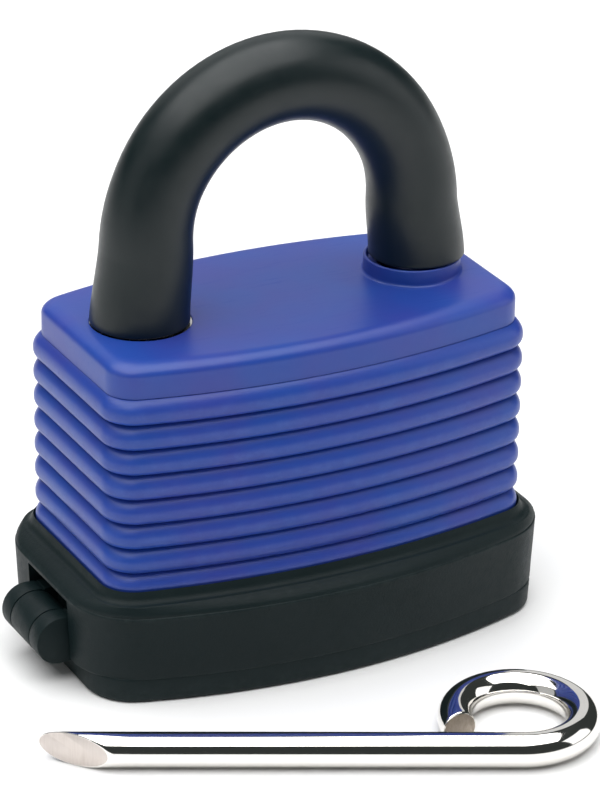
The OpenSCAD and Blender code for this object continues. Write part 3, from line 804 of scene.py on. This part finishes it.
def sleeve():
    toe_z = sleeve_lo.z + TOE_FOOT_GAP
    heel_z = jacket_hi.z + HEEL_FOOT_GAP
    path = sleeve_path(toe_z, heel_z)
    skin = Skin()
    soft = SLEEVE_END_ROUND
    outer, inner = [], []
    count = len(path)
    for i, (x, z) in enumerate(path):
        ahead = Vector(path[min(i + 1, count - 1)]) - Vector(path[max(i - 1, 0)])
        ahead.normalize()
        if i in (0, count - 1):
            ahead = Vector((0, 1 if i == 0 else -1))
        side = Vector((ahead.y, 0, -ahead.x))
        flare = max(0.0, (FLARE_TOP - z) / (FLARE_TOP - toe_z)) ** FLARE_POWER
        radius = SLEEVE_R + (SLEEVE_FOOT_R - SLEEVE_R) * flare
        centre = Vector((x, 0, z))
        if i in (0, count - 1):
            lift = Vector((0, 0, 1))
            for across, up in arc(soft, -80, 0, 4) if i == 0 else arc(soft, 0, -80, 4):
                outer.append(tube_ring(skin, centre + lift * (soft + up), side, radius - soft + across))
        else:
            outer.append(tube_ring(skin, centre, side, radius))
    for i, (x, z) in enumerate(path):
        steel_x = math.copysign(LEG_X, x)
        if i < LEG_STEPS or i > count - 1 - LEG_STEPS:
            across = Vector((1 if i < LEG_STEPS else -1, 0, 0))
            inner.append(tube_ring(skin, Vector((steel_x, 0, z)), across, STEEL_R))
            continue
        ahead = Vector(path[i + 1]) - Vector(path[i - 1])
        ahead.normalize()
        inner.append(tube_ring(skin, Vector((x, 0, z)), Vector((ahead.y, 0, -ahead.x)), STEEL_R))
    skin.stack(outer)
    skin.stack(list(reversed(inner)))
    skin.bridge(inner[0], outer[0])
    skin.bridge(outer[-1], inner[-1])
    return dress(skin.build("bow_sleeve"), "black_sleeve", "shackle_assembly", "shackle_sleeve")


def tube_ring(skin, centre, side, radius):
    """A ring round the centre, spanned by side and the Y axis."""
    points = []
    for i in range(TUBE_STEPS):
        a = TAU * i / TUBE_STEPS
        points.append(centre + (side * math.cos(a) + Vector((0, 1, 0)) * math.sin(a)) * radius)
    return skin.ring(points)


# ---- Number wheels' numerals ----

WHEEL_R = 7.5
NUMERAL_SIZE = 2.7
NUMERAL_PROUD = 0.03
NUMERAL_ROOT = 0.08
NUMERAL_HALF_THICK = 0.06
NUMERAL_TURN = 36
WHEEL_AXIS_Z = 10.0


def numeral_mesh(digit):
    """Triangles of one numeral, centred, in its own millimetres."""
    curve = bpy.data.curves.new("numeral", "FONT")
    curve.body = str(digit)
    curve.size = NUMERAL_SIZE
    curve.align_x = "CENTER"
    curve.align_y = "CENTER"
    curve.extrude = NUMERAL_HALF_THICK
    curve.resolution_u = 4
    holder = bpy.data.objects.new("numeral", curve)
    bpy.context.scene.collection.objects.link(holder)
    mesh = bpy.data.meshes.new_from_object(holder.evaluated_get(bpy.context.evaluated_depsgraph_get()))
    bpy.data.objects.remove(holder)
    points = [v.co.copy() for v in mesh.vertices]
    middle = (max(p.y for p in points) + min(p.y for p in points)) / 2
    for p in points:
        p.y -= middle
    return points, [tuple(f.vertices) for f in mesh.polygons]


def numerals(index):
    """Ten numerals laid round one wheel, the zero in the window at the bottom."""
    lo, hi = edges_mm(f"number_wheel_{index}")
    middle = (lo.x + hi.x) / 2
    skin = Skin()
    for digit in range(10):
        points, faces = numeral_mesh(digit)
        start = len(skin.points)
        for p in points:
            a = math.radians(180 + NUMERAL_TURN * digit) + p.y / WHEEL_R
            r = WHEEL_R + (NUMERAL_PROUD if p.z > 0 else -NUMERAL_ROOT)
            skin.points.append(Vector((middle - p.x, -r * math.sin(a), WHEEL_AXIS_Z + r * math.cos(a))))
            skin.wear.append(0.0)
        skin.faces += [tuple(start + i for i in f) for f in faces]
    piece = skin.build(f"wheel_numerals_{index}")
    piece.data.materials.append(NUMERAL_WHITE)
    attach(piece, f"wheel_{index}")


# ---- Change pin ----

PIN_R = (pin_hi.z - pin_lo.z) / 2
PIN_START = Vector((-34.0, -21.5, PIN_R))
PIN_TURN = math.radians(-26)
PIN_REACH = 45.6
EYE_R = 6.6
EYE_END = 200
BEVEL = math.radians(26)
PIN_SIDES = 48
PIN_END_ROUND = 0.16
PIN_TIP = ((0.10, 0.93), (0.22, 0.985), (0.55, 1.0))
SLANT_FADE = 6
EYE_STEPS = 96


def pin_ring(skin, centre, ahead, radius=PIN_R, slant=0.0):
    """A ring round the wire. Slant moves each point along the wire by its share of the side offset."""
    side = Vector((-ahead.y, ahead.x, 0))
    points = []
    for i in range(PIN_SIDES):
        a = TAU * i / PIN_SIDES
        off = radius * math.cos(a)
        points.append(centre + side * off + Vector((0, 0, radius * math.sin(a))) - ahead * off * slant)
    return skin.ring(points)


def change_pin():
    skin = Skin()
    slant = 1 / math.tan(BEVEL)
    ahead = Vector((1, 0, 0))
    soft = PIN_END_ROUND
    rings = []
    for start, size in PIN_TIP:
        rings.append(pin_ring(skin, Vector((start, 0, 0)), ahead, PIN_R * size, slant))
    for share in (0.12, 0.3, 0.6, 1.0):
        lean = slant * max(0, 1 - SLANT_FADE * share)
        rings.append(pin_ring(skin, Vector((PIN_REACH * share, 0, 0)), ahead, PIN_R, lean))
    for i in range(1, EYE_STEPS):
        a = math.radians(-90 + (EYE_END + 90) * i / EYE_STEPS)
        centre = Vector((PIN_REACH + EYE_R * math.cos(a), EYE_R + EYE_R * math.sin(a), 0))
        rings.append(pin_ring(skin, centre, Vector((-math.sin(a), math.cos(a), 0))))
    a = math.radians(EYE_END)
    ahead = Vector((-math.sin(a), math.cos(a), 0))
    end = Vector((PIN_REACH + EYE_R * math.cos(a), EYE_R + EYE_R * math.sin(a), 0))
    middle = soft * SOFT_MIDDLE
    rings.append(pin_ring(skin, end - ahead * soft, ahead))
    rings.append(pin_ring(skin, end - ahead * middle, ahead, PIN_R - middle))
    rings.append(pin_ring(skin, end, ahead, PIN_R - soft))
    skin.stack(rings)
    skin.fill(rings[0], slot=1)
    skin.fill(rings[-1], slot=2)
    place = Matrix.Translation(PIN_START) @ Matrix.Rotation(PIN_TURN, 4, "Z")
    piece = skin.build("steel_change_pin", PIN_SMOOTH_BELOW, place)
    return dress(piece, "bright_nickel", "loose_pin", "change_pin", extra=(CUT_METAL, END_METAL))


# ---- The object ----

jacket()
skirt()
lid()
sleeve()
change_pin()
for index in range(1, 5):
    numerals(index)

SHOWN_BY_PIECES = {"jacket", "skirt", "lid", "shackle_sleeve", "change_pin"}
for part in frame["record"]["subparts"]:
    if part["node"] in SHOWN_BY_PIECES:
        continue
    node = frame["nodes"][part["node"]]
    for place in node.material_slots:
        place.material = MATERIALS[part["material_slot"]]


# ---- Floor, light and camera ----


def floor():
    """A pale plane under the lock, six metres each way."""
    mesh = bpy.data.meshes.new("floor")
    reach = 6.0
    corners = [(-reach, -reach, 0), (reach, -reach, 0), (reach, reach, 0), (-reach, reach, 0)]
    mesh.from_pydata(corners, [], [(0, 1, 2, 3)])
    plane = bpy.data.objects.new("floor", mesh)
    bpy.context.scene.collection.objects.link(plane)
    n = Nodes("floor")
    tone = n.blend(n.noise(60, 3), (0.90, 0.90, 0.90), (0.93, 0.93, 0.93))
    plane.data.materials.append(n.surface(tone, 0.65))


def softbox(name, place, size, power):
    """A rectangular area light at that place in metres, turned to the lock's middle."""
    data = bpy.data.lights.new(name, "AREA")
    data.shape = "RECTANGLE"
    data.size, data.size_y = size
    data.energy = power
    lamp = bpy.data.objects.new(name, data)
    lamp.location = place
    lamp.rotation_mode = "QUATERNION"
    lamp.rotation_quaternion = (Vector((0, 0, 0.03)) - Vector(place)).to_track_quat("-Z", "Y")
    bpy.context.scene.collection.objects.link(lamp)


def world():
    """Dark surroundings, which draw the dark band along the bright pin."""
    data = bpy.data.worlds.new("studio")
    data.use_nodes = True
    data.node_tree.nodes["Background"].inputs["Color"].default_value = (0.88, 1.0, 0.96, 1)
    data.node_tree.nodes["Background"].inputs["Strength"].default_value = 0.04
    bpy.context.scene.world = data


def camera():
    """The camera stands to the front left and looks down on the lock."""
    azimuth, elevation, roll = (math.radians(a) for a in (27.61, 24.86, 0.83))
    distance = 415.65
    shift_right, shift_up = 2.14, -9.20
    target = Vector((0, 0, 35))
    flat = math.cos(elevation)
    away = Vector((-math.sin(azimuth) * flat, -math.cos(azimuth) * flat, math.sin(elevation)))
    level = Vector((math.cos(azimuth), -math.sin(azimuth), 0))
    upright = away.cross(level)
    right = level * math.cos(roll) + upright * math.sin(roll)
    up = upright * math.cos(roll) - level * math.sin(roll)
    data = bpy.data.cameras.new("camera")
    data.sensor_fit = "VERTICAL"
    data.sensor_width = data.sensor_height = 36
    data.lens = 177.7
    data.clip_start, data.clip_end = 0.02, 20
    lens = bpy.data.objects.new("camera", data)
    place = (target + away * distance + right * shift_right + up * shift_up) * MM
    turn = Matrix((right, up, away)).transposed().to_4x4()
    lens.matrix_world = Matrix.Translation(place) @ turn
    bpy.context.scene.collection.objects.link(lens)
    bpy.context.scene.camera = lens


floor()
world()
softbox("overhead", (-0.1, 0.0, 1.0), (1.5, 1.5), 23)
softbox("left", (-1.1, 0.05, 0.5), (0.9, 0.9), 1.2)
softbox("right", (1.1, -0.55, 0.5), (0.9, 0.9), 3.2)
softbox("back", (0.35, 1.25, 0.62), (1.6, 0.8), 2.8)
camera()
bpy.context.scene.view_settings.view_transform = "Standard"
